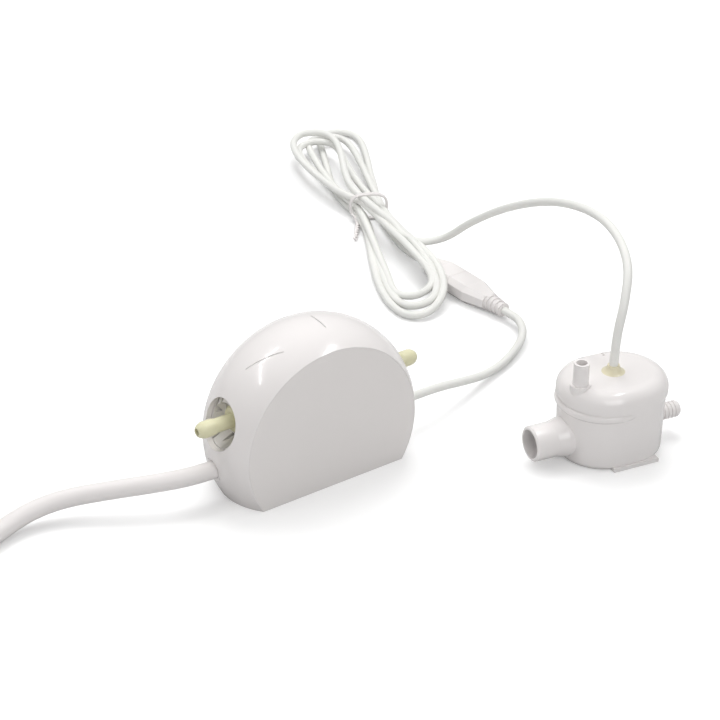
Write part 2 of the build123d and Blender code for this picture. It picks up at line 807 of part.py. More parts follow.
# ---------------------------------------------------------------- hank, tie and coil
def round_hull(circles):
    """Outline drawn tight round some circles."""
    edges = ShapeList()
    for x, y, radius in circles:
        edges += (Pos(x, y) * Circle(radius)).edges()
    return make_hull(edges)


def hank():
    """Outer shape of the tied hank of lead: two loops that meet at a waist."""
    plan = Sketch()
    for group in ((hank_front,), hank_far):
        plan += round_hull(group + (hank_waist,))
    for group in hank_holes:
        plan -= round_hull(group)
    body = extrude(Pos(0, 0, hank_bottom) * plan, hank_height)
    body = fillet(body.edges().group_by(Axis.Z)[-1], hank_round)
    side = connector_width / 2 + 1.0
    end = connector_seam_y + socket_straight + socket_taper + socket_relief_length + 1.5
    cover = block(connector_x - side, far + connector_x, 0, end, 0, connector_height + 0.6)
    return body - cover


def hank_angle():
    along = Vector(*hank_far[0][:2]) - Vector(*hank_front[:2])
    return along.get_signed_angle(Vector(1, 0, 0), Vector(0, 0, -1))


def cable_tie():
    """Twist tie round the hank's waist, with a loose end."""
    half = hank_waist[2] + tie_slack
    low = hank_bottom - 0.2
    high = hank_bottom + hank_height + loose_gap
    band = block(-tie_width / 2, tie_width / 2, -half - tie_thickness, half + tie_thickness,
                 low - tie_thickness, high + tie_thickness)
    band -= block(-tie_width, tie_width, -half, half, low, high)
    width, length = tie_tail
    tail = block(0, length, -width / 2, width / 2, low - tie_thickness, low)
    tail = Pos(0, half + width / 2, 0) * Rot(0, 0, tie_tail_turn) * tail
    return Pos(hank_waist[0], hank_waist[1], 0) * Rot(0, 0, hank_angle()) * (band + tail)


def mains_coil():
    ring = Pos(*coil_centre, 0) * (Circle(coil_outer) - Circle(coil_inner))
    body = extrude(ring, coil_height)
    return fillet(body.edges(), coil_round)


def mains_cores():
    """Stripped cores at the free end of the mains lead."""
    end = Vector(*mains_tail_route[-1])
    heading = (end - Vector(*mains_tail_route[-2])).normalized()
    frame = Plane(origin=end, z_dir=heading)
    cores = []
    for number in range(core_count):
        turn = radians(90 + 360 * number / core_count)
        centre = Pos(core_place * cos(turn), core_place * sin(turn))
        cores.append(extrude(frame * centre * Circle(core_radius), core_length))
    return Compound(cores)


# ---------------------------------------------------------------- build and save
RESERVOIR = Pos(reservoir_x, reservoir_y, 0) * Rot(0, 0, reservoir_yaw)
CONNECTOR = Pos(connector_x, connector_seam_y, connector_height / 2) * Rot(0, 0, 90)

save(cover_shell(), "cover_shell")
save(front_plate(), "front_plate")
save(gland(-1, mains_diameter), "mains_grommet")
save(gland(1, lead_diameter), "lead_grommet")
save(cable_clamp(-1, mains_diameter), "mains_clamp")
save(cable_clamp(1, lead_diameter), "lead_clamp")
save(end_mount(-1), "inlet_end_mount")
save(end_mount(1), "outlet_end_mount")
save(nozzle(-1), "inlet_nozzle")
save(nozzle(1), "outlet_nozzle")
save(valve(tube_half + 2 * o_ring_section + seat_gap), "outlet_valve")

save(Pos(0, 0, nozzle_height) * pipe_x(-tube_half, tube_half, tube_radius, tube_bore), "piston_tube")
seal_radius = tube_radius - o_ring_section
o_rings = [Pos(side * (tube_half + o_ring_section), 0, nozzle_height) * Rot(0, 90, 0)
           * Torus(seal_radius, o_ring_section) for side in (-1, 1)]
save(Compound(o_rings), "tube_o_rings")
save(piston(), "piston")
save(valve(piston_length / 2 - valve_length), "piston_valve")
spring_stop = tube_half + 2 * o_ring_section - seat_gap
spring_foot = piston_length / 2 + spring_end_gap
save(spring(-spring_stop, -spring_foot), "inlet_spring")
save(spring(spring_foot, spring_stop), "outlet_spring")
save(bobbin(), "coil_bobbin")
save(winding(), "coil_winding")
save(yoke(), "coil_yoke")
cutout_x, cutout_y, cutout_z = cutout_size
save(block(-cutout_x / 2, cutout_x / 2, -cutout_y / 2, cutout_y / 2,
           yoke_top() + seat_gap, yoke_top() + seat_gap + cutout_z), "thermal_cutout")
save(circuit_board(), "circuit_board")
save(board_screws(), "board_screws")
save(terminal_block(), "terminal_block")
save(capacitors(), "capacitors")
save(control_chip(), "control_chip")

save(RESERVOIR * reservoir_cup(), "reservoir_cup")
save(RESERVOIR * filter_screen(), "filter_screen")
save(RESERVOIR * reservoir_lid(), "reservoir_lid")
save(RESERVOIR * lid_seal(), "lid_seal")
save(RESERVOIR * sensor_stem(), "sensor_stem")
save(RESERVOIR * stem_clip(), "stem_clip")
save(RESERVOIR * reed_switch(), "reed_switch")
save(RESERVOIR * float_ring(), "float_ring")
save(RESERVOIR * float_magnet(), "float_magnet")
save(RESERVOIR * glue_bead(), "glue_bead")

save(CONNECTOR * connector_socket(), "connector_socket")
save(CONNECTOR * socket_contacts(), "socket_contacts")
save(CONNECTOR * connector_plug(), "connector_plug")
save(CONNECTOR * plug_pins(), "plug_pins")

save(hank(), "sensor_hank")
save(cable_tie(), "cable_tie")
save(mains_coil(), "power_cable_coil")
save(mains_cores(), "mains_cores")

mains_start = (-clamp_face(mains_diameter), gland_y, gland_z)
cord_tube("power_cable", [mains_start] + mains_route, mains_diameter)
cord_tube("power_cable_tail", mains_tail_route, mains_diameter)
lead_exit = wall_x(gland_y, gland_z) + lead_standoff
save(rod_x(clamp_face(lead_diameter), lead_exit, lead_diameter / 2, gland_y, gland_z), "pump_lead_root")
lead_start = (lead_exit, gland_y, gland_z)
plug_end = connector_seam_y - seam_gap - plug_straight - plug_taper - relief_length
lead_end = (connector_x, plug_end, connector_height / 2)
cord_tube("pump_lead", [lead_start] + pump_lead_route + [lead_end], lead_diameter)
socket_end = connector_seam_y + socket_straight + socket_taper + socket_relief_length
tail_start = (connector_x, socket_end, connector_height / 2)
tail_end = (connector_x, socket_end + sensor_tail_length, connector_height / 2)
tail = Plane(origin=tail_start, z_dir=(0, 1, 0)) * Circle(lead_diameter / 2)
save(extrude(tail, sensor_tail_length), "sensor_tail")
arch_end = (reservoir_x, reservoir_y, lid_top + glue_height)
cord_tube("sensor_arch", arch_route + [arch_end], lead_diameter)
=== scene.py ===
# %% [markdown]
# # A mini condensate pump and its reservoir
#
# The small pump that lifts the water from an air conditioner.  The rigid parts come from
# the CAD frame, in metres, and stay where they are.  This lesson gives them their finishes
# and makes again what CAD only stands in for: the leads, the springs and the tie.

# %% Load the frame
import json
import math

import bmesh
import bpy
from mathutils import Matrix, Vector


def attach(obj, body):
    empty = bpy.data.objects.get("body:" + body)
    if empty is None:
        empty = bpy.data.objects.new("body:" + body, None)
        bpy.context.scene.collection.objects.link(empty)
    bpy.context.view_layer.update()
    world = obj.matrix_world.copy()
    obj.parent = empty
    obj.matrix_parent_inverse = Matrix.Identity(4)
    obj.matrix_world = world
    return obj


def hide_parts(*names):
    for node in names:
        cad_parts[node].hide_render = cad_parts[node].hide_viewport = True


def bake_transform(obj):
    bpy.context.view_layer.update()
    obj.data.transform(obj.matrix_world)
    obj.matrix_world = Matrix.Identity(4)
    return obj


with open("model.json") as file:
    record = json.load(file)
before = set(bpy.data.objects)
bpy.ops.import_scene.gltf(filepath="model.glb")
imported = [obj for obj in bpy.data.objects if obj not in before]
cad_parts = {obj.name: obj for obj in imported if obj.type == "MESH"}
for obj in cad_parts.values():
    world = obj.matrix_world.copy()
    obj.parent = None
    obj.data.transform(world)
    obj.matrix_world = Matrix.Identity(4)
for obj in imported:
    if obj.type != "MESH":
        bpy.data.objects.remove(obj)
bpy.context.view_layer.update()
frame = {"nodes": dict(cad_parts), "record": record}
nodes = frame["nodes"]
MM = 0.001

# %% [markdown]
# ## Camera
#
# A wide lens close by would make the near end of so small a pump look swollen, so this is
# a long lens from well back.  The camera comes first because the leads are judged by its
# view: a length that lies outside it has to be wound up.

# %% Set up the camera
camera_data = bpy.data.cameras.new("camera")
camera_data.lens = 95
camera_data.sensor_width = 36
camera = bpy.data.objects.new("camera", camera_data)
camera.location = (-0.3867, -0.5867, 0.4555)
camera.rotation_euler = (math.radians(60.22), 0, math.radians(-35.16))
bpy.context.scene.collection.objects.link(camera)
bpy.context.scene.camera = camera
print("camera at", [round(x, 3) for x in camera.location])

# %% [markdown]
# ## Leads
#
# A lead is a fixed length of soft PVC.  A chain of straight tubes would show its joints, so
# its line is a NURBS spline: the points pull the line towards them without making it touch
# them, so it never kinks.  A stiff mains lead takes wide curves, and the thin sensor lead
# takes smaller ones.  The finished curve becomes a mesh, because only a mesh can bend.

# %% Helpers for leads
shortest_step = 0.0002         # points of a centre line that lie closer count as one


def in_metres(points):
    return [Vector(point) * MM for point in points]


def lead_curve(name, points, diameter):
    """Round lead along control points given in millimetres."""
    data = bpy.data.curves.new(name, "CURVE")
    data.dimensions = "3D"
    spline = data.splines.new("NURBS")
    spline.points.add(len(points) - 1)
    for point, place in zip(spline.points, in_metres(points)):
        point.co = (*place, 1)
    spline.order_u = 3
    spline.use_endpoint_u = True
    spline.use_smooth = True
    spline.resolution_u = 8
    data.bevel_depth = diameter / 2
    data.bevel_resolution = 5
    data.use_fill_caps = True
    lead = bpy.data.objects.new(name, data)
    bpy.context.scene.collection.objects.link(lead)
    return lead


def centre_line(lead):
    """The points of the lead's own spline, without its thickness, and their length."""
    depth, lead.data.bevel_depth = lead.data.bevel_depth, 0
    caps, lead.data.use_fill_caps = lead.data.use_fill_caps, False
    line = bpy.data.meshes.new_from_object(lead)
    points = []
    for vertex in line.vertices:
        if not points or (vertex.co - points[-1]).length > shortest_step:
            points.append(vertex.co.copy())
    lead.data.bevel_depth, lead.data.use_fill_caps = depth, caps
    return points, sum((b - a).length for a, b in zip(points, points[1:]))


def as_mesh(lead):
    """Turns a lead's curve into a mesh tube, so that it can bend and its box is exact."""
    name = lead.name
    mesh = bpy.data.meshes.new_from_object(lead)
    bpy.data.objects.remove(lead)
    tube = bpy.data.objects.new(name, mesh)
    bpy.context.scene.collection.objects.link(tube)
    mesh.polygons.foreach_set("use_smooth", [True] * len(mesh.polygons))
    return tube


print("lead helpers ready")

# %% [markdown]
# ### Mains lead
#
# It leaves the left end of the casing through a small grommet, sinks to the table in a
# wide curve, and the length that isn't needed is wound into a neat coil beside the pump.
# The coil's turns are points of the same spline: three layers of two turns.

# %% Make the mains lead
mains_diameter = 0.008
mains_points = [(-44.0, 2.0, 15.0), (-57.0, 2.0, 15.0), (-74.0, 7.8, 14.5), (-90.0, 17.0, 12.3),
                (-105.5, 25.6, 9.9), (-119.0, 29.4, 7.4), (-132.0, 28.0, 5.3), (-146.0, 22.8, 4.2)]
coil_centre = (-183.1, 55.1)
coil_slots = [(44.0, 4.2), (35.8, 4.2), (35.8, 12.3), (44.0, 12.3), (35.8, 20.4), (44.0, 20.4)]
coil_steps = 14
coil_climb = 0.28              # last share of a slot's stretch, spent moving to the next
coil_turns = 6.456
coil_start = math.radians(-58.4)
for step in range(round(coil_turns * coil_steps) + 1):
    turn = step / coil_steps
    place = min(turn / coil_turns * len(coil_slots), len(coil_slots) - 0.001)
    slot_index = int(place)
    blend_in = min(1, max(0, (place - slot_index - (1 - coil_climb)) / coil_climb))
    here = coil_slots[slot_index]
    there = coil_slots[min(slot_index + 1, len(coil_slots) - 1)]
    radius = (here[0] + (there[0] - here[0]) * blend_in) / math.cos(math.pi / coil_steps)
    height = here[1] + (there[1] - here[1]) * blend_in
    angle = coil_start - turn * 2 * math.pi
    mains_points.append((coil_centre[0] + radius * math.cos(angle),
                         coil_centre[1] + radius * math.sin(angle), height))
bare_end = [(-203.0, 99.5, 16.5), (-191.0, 108.5, 10.6), (-178.0, 113.8, 5.8), (-165.0, 117.0, 5.0)]
mains_points += bare_end
mains_lead = lead_curve("mains_lead", mains_points, mains_diameter)
mains_path, mains_length = centre_line(mains_lead)
mains_lead = as_mesh(mains_lead)
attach(mains_lead, "pump")
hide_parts("power_cable", "power_cable_coil", "power_cable_tail")
print("mains lead:", round(mains_length, 3), "m")

# %% [markdown]
# ### Pump lead
#
# The thin lead of the pump ends in the plug half of an in-line connector.  The plug can be
# pulled from its socket.

# %% Make the pump lead
lead_diameter = 0.004
pump_lead_points = [(42.0, 2.0, 15.0), (60.0, 2.0, 15.0), (76.0, 5.6, 12.0), (93.5, 9.5, 7.2),
                    (110.0, 14.0, 3.0), (128.0, 20.0, 2.4), (147.0, 31.5, 3.6), (154.3, 43.5, 5.0),
                    (154.3, 52.0, 5.0), (154.3, 60.0, 5.0)]
pump_lead = lead_curve("pump_lead_tube", pump_lead_points, lead_diameter)
pump_lead_path, pump_lead_length = centre_line(pump_lead)
pump_lead = as_mesh(pump_lead)
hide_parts("pump_lead", "pump_lead_root")
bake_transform(pump_lead)
print("pump lead:", round(pump_lead_length, 3), "m")

# %% [markdown]
# ### Sensor lead
#
# The float switch hangs on two metres of the same thin lead.  It leaves the socket, is
# folded into a hank that a tie holds by its waist, and then rises in a high arch into the
# reservoir's lid.  The far loops fan out because nothing ties them.  A loop over circles
# would wind them all alike, so the points are given one by one: each list goes once round
# one end of the hank.  The lid can be lifted.

# %% Make the sensor lead
to_waist = [(154.3, 116.0, 5.0), (154.3, 130.0, 4.6), (157.0, 146.0, 3.0), (163.0, 165.0, 2.8)]
far_right = [(171.7, 189.5, 3.6), (188.0, 213.7, 2.3), (199.4, 235.1, 2.3), (213.1, 258.4, 2.3),
             (223.0, 278.0, 2.3), (224.5, 291.0, 2.3), (215.5, 299.5, 2.3), (204.0, 295.0, 2.3),
             (196.0, 280.0, 2.3), (184.0, 257.0, 2.3), (172.5, 235.7, 2.3), (164.3, 213.8, 2.3)]
front_outer = [(160.6, 194.0, 3.6), (156.0, 178.7, 2.3), (146.2, 161.2, 2.3), (133.1, 139.4, 2.3),
               (122.1, 119.2, 2.3), (114.5, 99.3, 2.3), (113.6, 84.4, 2.3), (121.4, 78.0, 3.0),
               (133.0, 81.5, 5.0), (142.9, 89.8, 8.0), (150.3, 105.0, 11.0), (155.0, 124.0, 11.6),
               (160.9, 145.1, 8.4), (168.3, 168.0, 4.6)]
far_middle = [(175.4, 188.0, 3.6), (184.0, 209.0, 4.0), (191.0, 226.0, 5.6), (201.9, 250.5, 6.0),
              (209.0, 269.0, 6.2), (210.5, 281.5, 6.2), (201.5, 290.0, 6.2), (189.5, 286.0, 6.2),
              (182.5, 271.0, 6.2), (172.3, 242.8, 5.8), (167.1, 218.2, 4.0)]
front_middle = [(164.3, 192.5, 3.8), (154.0, 170.4, 2.6), (142.9, 151.7, 2.4), (130.8, 128.2, 2.4),
                (121.9, 108.4, 2.4), (118.6, 96.0, 2.6), (121.5, 87.5, 3.4), (130.5, 84.8, 5.2),
                (139.0, 91.0, 7.4), (144.5, 101.5, 10.0), (148.0, 111.9, 12.0), (152.4, 127.1, 12.8),
                (159.9, 149.3, 10.4), (167.6, 171.9, 7.4)]
far_inner = [(173.6, 188.7, 6.2), (177.6, 213.4, 7.4), (188.2, 244.5, 8.6), (196.0, 262.0, 9.2),
             (197.5, 274.0, 9.0), (189.0, 282.0, 8.6), (177.5, 278.5, 8.2), (171.0, 263.5, 8.0),
             (166.0, 240.6, 8.0), (163.5, 214.1, 7.4)]
front_inner = [(162.4, 193.3, 6.2), (150.5, 166.7, 5.6), (140.2, 144.0, 4.0), (130.6, 122.4, 3.2),
               (124.0, 110.0, 3.2), (122.8, 102.0, 3.4), (128.0, 94.0, 4.6), (138.6, 94.2, 7.6),
               (143.6, 103.4, 10.6), (145.3, 119.4, 14.0), (149.1, 134.0, 13.6), (154.4, 154.4, 12.0),
               (159.8, 174.2, 10.6)]
far_left = [(164.3, 192.5, 9.8), (160.5, 206.0, 10.6), (160.0, 222.0, 11.4), (162.5, 245.0, 12.0),
            (168.0, 266.0, 12.2), (175.5, 280.5, 12.2), (186.5, 288.0, 12.4), (197.5, 281.5, 12.8),
            (197.5, 268.0, 13.0), (188.0, 248.0, 13.2), (175.0, 226.0, 13.0), (166.3, 206.8, 12.6)]
to_arch = [(163.6, 190.0, 12.4), (160.0, 172.0, 13.6), (158.0, 154.0, 13.6), (154.6, 143.0, 12.8),
           (157.0, 132.6, 11.2)]
arch = [(165.5, 128.0, 11.8), (170.5, 121.5, 16.0), (171.0, 107.0, 29.0), (167.0, 74.0, 51.5),
        (162.0, 38.0, 70.5), (154.5, 4.0, 82.5), (146.0, -26.0, 87.0), (134.5, -50.5, 82.0),
        (124.0, -60.5, 70.0), (117.9, -62.7, 54.0), (117.9, -62.7, 40.0)]
sensor_points = (to_waist + far_right + front_outer + far_middle + front_middle + far_inner
                 + front_inner + far_left + to_arch + arch)
sensor_lead = lead_curve("sensor_lead", sensor_points, lead_diameter)
sensor_path, sensor_length = centre_line(sensor_lead)
sensor_lead = as_mesh(sensor_lead)
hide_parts("sensor_tail", "sensor_hank", "sensor_arch")
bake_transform(sensor_lead)
print("sensor lead:", round(sensor_length, 3), "m,", len(sensor_points), "points")

# %% [markdown]
# ### Pump springs
#
# A spring on each side centres the piston, and as it moves one closes up while the other
# opens.  The CAD springs are rigid; these are wound again at the same place.

# %% Make the springs
def spring(name, cad_name, piston_side, wire=0.0007, turns=4.0, steps=16):
    """A coil along X in the box of its CAD solid."""
    corners = [nodes[cad_name].matrix_world @ Vector(c) for c in nodes[cad_name].bound_box]
    low = Vector([min(c[i] for c in corners) for i in range(3)])
    high = Vector([max(c[i] for c in corners) for i in range(3)])
    middle = (low + high) / 2
    radius = ((high.y - low.y) - wire) / 2 / math.cos(math.pi / steps)
    first, last = low.x + wire / 2, high.x - wire / 2
    winds = []
    closed_turns = 0.75        # at each end, where the wire lies flat
    for step in range(round(turns * steps) + 1):
        share = step / (turns * steps)
        pitch_share = min(1, max(0, (share * turns - closed_turns) / (turns - 2 * closed_turns)))
        angle = step / steps * 2 * math.pi
        winds.append(((first + (last - first) * pitch_share) / MM,
                      (middle.y + radius * math.cos(angle)) / MM,
                      (middle.z + radius * math.sin(angle)) / MM))
    coil = as_mesh(lead_curve(name, winds, wire))
    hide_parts(cad_name)
    ends = [(low.x, middle.y, middle.z), (high.x, middle.y, middle.z)]
    if piston_side == "low":
        ends.reverse()
    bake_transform(coil)
    return coil


springs = [spring("inlet_spring_wound", "inlet_spring", "high"),
           spring("outlet_spring_wound", "outlet_spring", "low")]
print("springs:", len(springs))

# %% [markdown]
# ### Tie
#
# A plastic-covered wire goes twice round the hank's waist, and its two ends are twisted
# together into a short tail that lies on the table.

# %% Make the tie
tie_wire = 0.0013
waist = Vector((167.0, 191.5, 7.9))
along = Vector((0.45, 0.893, 0.0)).normalized()
across = Vector((along.y, -along.x, 0.0))
tail_root = Vector((156.6, 186.6, 1.9))
tail_end = Vector((144.0, 171.0, 1.6))
tail_side = Vector((-(tail_root - tail_end).y, (tail_root - tail_end).x, 0)).normalized()


def twisted(phase, turns=3.5, steps=42, spread=0.72):
    """One of the tail's two strands, from its end to its root."""
    strand = []
    for step in range(steps + 1):
        share = step / steps
        angle = phase + turns * 2 * math.pi * share
        strand.append(tail_end.lerp(tail_root, share)
                      + (tail_side * math.cos(angle) + Vector((0, 0, math.sin(angle)))) * spread)
    return strand


def round_waist(turns=2.0, steps=24, half=(10.2, 7.1)):
    """Turns of wire round the waist, side by side, with rounded corners."""
    first, pitch = -3.0, 1.5
    begin, corner = math.pi * 1.1, 0.7      # a corner of 1 would be an ellipse
    loop = []
    for step in range(round(turns * steps) + 1):
        angle = begin + step / steps * 2 * math.pi
        wide, high = math.cos(angle), math.sin(angle)
        loop.append(waist + across * half[0] * math.copysign(abs(wide) ** corner, wide)
                    + Vector((0, 0, half[1] * math.copysign(abs(high) ** corner, high)))
                    + along * (pitch * step / steps + first))
    return loop


tie_points = twisted(0) + round_waist() + list(reversed(twisted(math.pi)))
tie = as_mesh(lead_curve("tie", [tuple(point) for point in tie_points], tie_wire))
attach(tie, "pump")
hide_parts("cable_tie")
print("tie:", len(tie_points), "points")

# %% [markdown]
# ## Finishes
#
# Shader maths is easier to read as an expression.  `Value` wraps one socket, and its
# operators add the Math nodes.  `Tree` adds every node by one method, and `Finish` is the
# tree of one material.

# %% Sums of sockets
class Value:
    """One output socket that takes part in sums."""

    def __init__(self, tree, socket):
        self.tree, self.socket = tree, socket

    def _math(self, operation, *others):
        return self.tree.math(operation, self, *others)

    def __add__(self, other):
        return self._math("ADD", other)

    __radd__ = __add__

    def __sub__(self, other):
        return self._math("SUBTRACT", other)

    def __rsub__(self, other):
        return self.tree.math("SUBTRACT", other, self)

    def __mul__(self, other):
        return self._math("MULTIPLY", other)

    def __truediv__(self, other):
        return self._math("DIVIDE", other)

    def magnitude(self):
        return self._math("ABSOLUTE")

    def above(self, limit):
        return self._math("GREATER_THAN", limit)

    def clamp(self):
        return self._math("MINIMUM", 1.0)._math("MAXIMUM", 0.0)


print("sums ready")


# %% Trees and finishes
class Tree:
    """The nodes of one material or of the world."""

    def __init__(self, node_tree):
        self.node_tree = node_tree

    def node(self, kind, settings=None, out=0, sockets=None, **named):
        """Adds a node: first its settings, then its sockets by number and by name."""
        node = self.node_tree.nodes.new(kind)
        for key, value in (settings or {}).items():
            setattr(node, key, value)
        for number, value in (sockets or {}).items():
            self.feed(node.inputs[number], value)
        for key, value in named.items():
            self.feed(node.inputs[key.replace("_", " ")], value)
        return Value(self, node.outputs[out])

    def feed(self, socket, value):
        if isinstance(value, Value):
            self.node_tree.links.new(value.socket, socket)
        else:
            socket.default_value = value

    def math(self, operation, *values):
        return self.node("ShaderNodeMath", {"operation": operation}, sockets=dict(enumerate(values)))


class Finish(Tree):
    """One material and the nodes that it is made of."""

    def __init__(self, name, **constants):
        self.material = bpy.data.materials.new(name)
        self.material.use_nodes = True
        super().__init__(self.material.node_tree)
        self.shader = self.node_tree.nodes["Principled BSDF"]
        self.set(**constants)
        self.place = self.node("ShaderNodeTexCoord", out="Object")

    def noise(self, scale, detail=2.0, place=None):
        return self.node("ShaderNodeTexNoise", Vector=place or self.place, Scale=scale, Detail=detail)

    def mix(self, factor, a, b):
        """Mix of two colours, whose sockets are the node's seventh and eighth."""
        return self.node("ShaderNodeMix", {"data_type": "RGBA"}, out=2, sockets={0: factor, 6: a, 7: b})

    def bump(self, height, distance):
        normal = self.node("ShaderNodeBump", Height=height, Distance=distance, Strength=1.0)
        self.set(Normal=normal)

    def set(self, **inputs):
        for key, value in inputs.items():
            self.feed(self.shader.inputs[key.replace("_", " ")], value)


print("finishes can be built")

# %% [markdown]
# ### Plastics
#
# The casing and the reservoir are glossy white mouldings, and the front plate has a satin
# skin.  The nozzles are a translucent yellow-green polymer, the end mounts a soft pale
# rubber.  PVC lead jackets are duller, one slightly pink and one slightly green.  One
# colour and one roughness all over would look like paint, so `moulded` varies both a little.

# %% Make the plastics
flow_scale = 38.0              # the marks that flow leaves in a moulding, about 26 mm apart
skin_swing, flow_swing = 0.12, 0.10         # how much of the roughness each one moves


def shade(colour, amount):
    return (*(channel * amount for channel in colour[:3]), 1)


def moulded(name, colour, roughness, grain, grain_depth, coat=0.0, **constants):
    """Moulded plastic: faint flow mottling, a fine skin, and a roughness that varies a little."""
    finish = Finish(name, Coat_Weight=coat, **constants)
    flow = finish.noise(flow_scale, 3.0)
    skin = finish.noise(grain, 2.0)
    finish.set(Base_Color=finish.mix(flow, shade(colour, 0.97), shade(colour, 1.0)))
    finish.set(Roughness=roughness + (skin - 0.5) * skin_swing + (flow - 0.5) * flow_swing)
    finish.bump(skin + flow * 3.0, grain_depth)
    return finish.material


finishes = {}
finishes["gloss_white"] = moulded("gloss white", (0.84, 0.81, 0.80), 0.22, 260.0, 0.00002, 0.35)
finishes["satin_white"] = moulded("satin white", (0.82, 0.79, 0.775), 0.46, 1500.0, 0.00001)
finishes["nozzle_green"] = moulded("nozzle green", (0.86, 0.83, 0.57), 0.20, 400.0, 0.00002,
                                   Transmission_Weight=0.15, IOR=1.5)
finishes["mount_grey"] = moulded("mount grey", (0.70, 0.68, 0.66), 0.55, 1200.0, 0.00002)
finishes["lead_white"] = moulded("sensor lead jacket", (0.82, 0.82, 0.79), 0.40, 1100.0, 0.00001)
finishes["mains_white"] = moulded("mains lead jacket", (0.83, 0.80, 0.79), 0.38, 1100.0, 0.00001)
finishes["rubber_black"] = moulded("black rubber", (0.035, 0.035, 0.035), 0.62, 1400.0, 0.00002)
finishes["bobbin_black"] = moulded("black nylon", (0.045, 0.045, 0.047), 0.42, 1400.0, 0.00002)
finishes["glue"] = moulded("hot glue", (0.88, 0.82, 0.60), 0.22, 240.0, 0.0004,
                           Transmission_Weight=0.15, IOR=1.48)
finishes["glass"] = moulded("glass", (0.75, 0.88, 0.84), 0.08, 300.0, 0.00001,
                            Transmission_Weight=0.9, IOR=1.5)
print("plastics:", ", ".join(finishes))

# %% [markdown]
# The casing carries two fine engraved lines: one slants across its upper left shoulder and
# one runs over the crown.  They could be cut into the mesh, but they are finer than its
# facets, so each is a bump and a little painted shade, a darker colour where a point lies
# near the line, seen from above.

# %% Make the casing's finish
groove_half_width = 0.00028
groove_end_fade = 0.0004
groove_depth = 0.0004
groove_painted_shade = 0.35             # how far the painted shade of the grooves covers the white
casing_white, casing_shade = (0.84, 0.81, 0.80, 1), (0.815, 0.785, 0.775, 1)
# the grey of the painted shade in the engraved lines
groove_shade_grey = (0.42, 0.40, 0.39, 1)


def casing_finish():
    finish = Finish("casing", Coat_Weight=0.35)
    place = finish.node("ShaderNodeSeparateXYZ", Vector=finish.place)
    axes = [Value(finish, socket) for socket in place.socket.node.outputs]
    groove = 0
    for start, end, lowest in (((-0.0321, -0.0011), (-0.0185, -0.0085), 0.055),
                               ((0.0040, -0.0069), (0.0040, 0.0041), 0.060)):
        run = Vector(end) - Vector(start)
        length = run.length
        run.normalize()
        x, y = axes[0] - start[0], axes[1] - start[1]
        reach = x * run.x + y * run.y
        off = (x * run.y - y * run.x).magnitude() / groove_half_width
        past = finish.math("MAXIMUM", reach - length, reach * -1.0) / groove_end_fade
        near = (1.0 - off).clamp() * (1.0 - past).clamp() * axes[2].above(lowest)
        groove = near + groove
    flow = finish.noise(flow_scale, 3.0)
    skin = finish.noise(260.0, 2.0)
    body = finish.mix(flow, casing_shade, casing_white)
    # Painted shade: the white is darkened along the engraved lines.
    finish.set(Base_Color=finish.mix(groove * groove_painted_shade, body, groove_shade_grey))
    finish.set(Roughness=0.22 + (skin - 0.5) * skin_swing + (flow - 0.5) * flow_swing)
    finish.bump(skin * 0.05 + flow * 0.15 - groove, groove_depth)
    return finish.material


finishes["casing"] = casing_finish()
print("casing finish ready")

# %% [markdown]
# ### Metals and the winding
#
# The works inside show when the lid is lifted or a panel is hidden.  Hundreds of turns of
# enamelled wire would be a heavy mesh, so the winding is a wave along the piston's axis.
# Brushed steel has long fine scratches: its noise is stretched along one axis.

# %% Make the metals
def metal(name, colour, roughness, stretch=(1, 1, 1)):
    finish = Finish(name, Metallic=1.0)
    place = finish.node("ShaderNodeMapping", Vector=finish.place, Scale=stretch)
    scratches = finish.noise(900.0, 4.0, place)
    cloud = finish.noise(60.0, 3.0)
    finish.set(Base_Color=finish.mix(cloud, shade(colour, 0.86), shade(colour, 1.0)))
    finish.set(Roughness=roughness + (scratches - 0.5) * 0.25)
    finish.bump(scratches, 0.00001)
    return finish.material


def wound(name, colour, axis, pitch):
    """Enamelled wire wound side by side along an axis."""
    finish = Finish(name, Metallic=0.85)
    wave = finish.node("ShaderNodeTexWave", {"bands_direction": axis, "wave_profile": "SIN"},
                       out="Fac", Vector=finish.place, Scale=math.pi / 10 / pitch)
    cloud = finish.noise(90.0, 3.0)
    # Painted shade: the colour drops to about a third of the copper's in the troughs between the turns,
    # under a random cloud of tone.
    finish.set(Base_Color=finish.mix(wave * cloud * 1.6, shade(colour, 0.35), shade(colour, 1.0)))
    finish.set(Roughness=0.42 - wave * 0.14)
    finish.bump(wave, 0.0002)
    return finish.material


finishes["steel"] = metal("steel", (0.60, 0.60, 0.60), 0.32, (0.15, 1, 1))
finishes["brass"] = metal("brass", (0.78, 0.60, 0.30), 0.28)
finishes["aluminium"] = metal("aluminium", (0.78, 0.78, 0.79), 0.35)
finishes["magnet"] = metal("magnet", (0.17, 0.17, 0.18), 0.55)
finishes["copper"] = wound("winding", (0.74, 0.36, 0.17), "X", 0.0008)
print("finishes so far:", len(finishes))

# %% [markdown]
# ### The board and the cores
#
# The circuit board is dark green with paler tracks.  A brick pattern on Object coordinates
# draws them in its mortar, without a picture file.  The mains lead ends in three cores,
# brown, blue, and green with yellow.  They are one piece, so each point takes its colour
# from its place.

# %% Make the board and the cores
def board_finish():
    finish = Finish("circuit board")
    tracks = finish.node("ShaderNodeTexBrick", {"offset": 0.37, "squash": 1.0}, out="Fac",
                         Vector=finish.place, Scale=180.0, Mortar_Size=0.07)
    weave = finish.noise(700.0, 2.0)
    finish.set(Base_Color=finish.mix(tracks, (0.03, 0.22, 0.10, 1), (0.06, 0.34, 0.16, 1)))
    finish.set(Roughness=0.32 + weave * 0.15)
    finish.bump(tracks + weave * 0.2, 0.00004)
    return finish.material


core_middle = Vector((-0.165, 0.117))      # the lead's bare end, seen from above
core_run = Vector((13.0, 3.2)).normalized()
top_core_height = 0.0054


